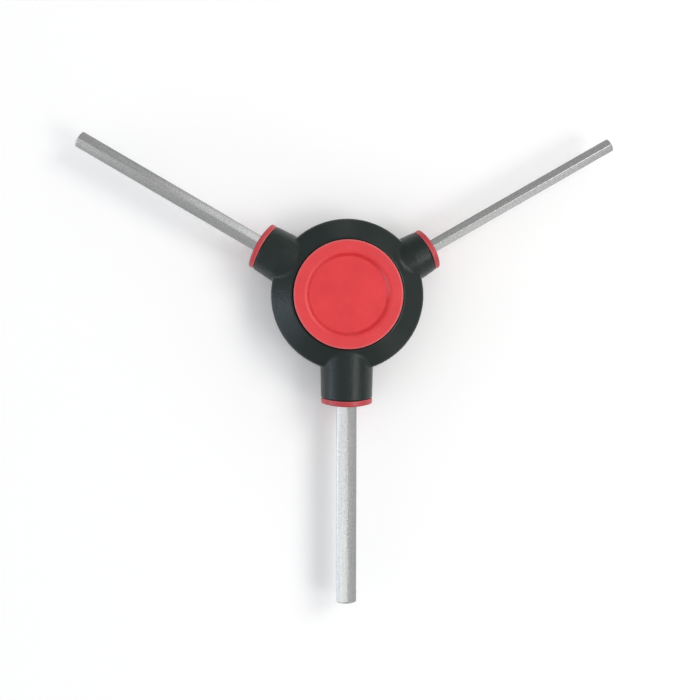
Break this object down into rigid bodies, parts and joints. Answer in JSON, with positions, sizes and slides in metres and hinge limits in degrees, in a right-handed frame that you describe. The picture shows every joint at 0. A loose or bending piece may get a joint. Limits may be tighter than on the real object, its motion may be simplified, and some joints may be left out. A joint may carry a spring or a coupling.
{
  "type": "three-way hex wrench",
  "caption": "Y-shaped hex wrench: a round two-shell plastic hub with steel hexagonal shafts set at even angles, each through a barrel with an end bush.",
  "frame": {"origin": "middle of the rear cap's outer face, which the tool rests on, on the hub's axis", "axes": "+Z out of the front cap, square to the plane of the shafts; -Y along the largest shaft; +X across, so that the 4 mm shaft points to +X and +Y"},
  "size_m": [0.1612, 0.14, 0.02],
  "materials": {
    "soft_black": "matte black, soft to the touch",
    "red_cap": "satin red",
    "red_bush": "satin red",
    "shaft_steel": "satin chrome, fine mottle",
    "core_metal": "as cast",
    "pin_steel": "ground",
    "screw_steel": "zinc plated"
  },
  "bodies": {
    "root": {"front_shell": "soft_black", "rear_shell": "soft_black", "front_cap": "red_cap", "rear_cap": "red_cap", "end_bush_4mm": "red_bush", "end_bush_5mm": "red_bush", "end_bush_6mm": "red_bush", "hex_shaft_4mm": "shaft_steel", "hex_shaft_5mm": "shaft_steel", "hex_shaft_6mm": "shaft_steel", "hub_core": "core_metal", "cross_pin_4mm": "pin_steel", "cross_pin_5mm": "pin_steel", "cross_pin_6mm": "pin_steel", "shell_screw_1": "screw_steel", "shell_screw_2": "screw_steel", "shell_screw_3": "screw_steel"}
  },
  "joints": []
}
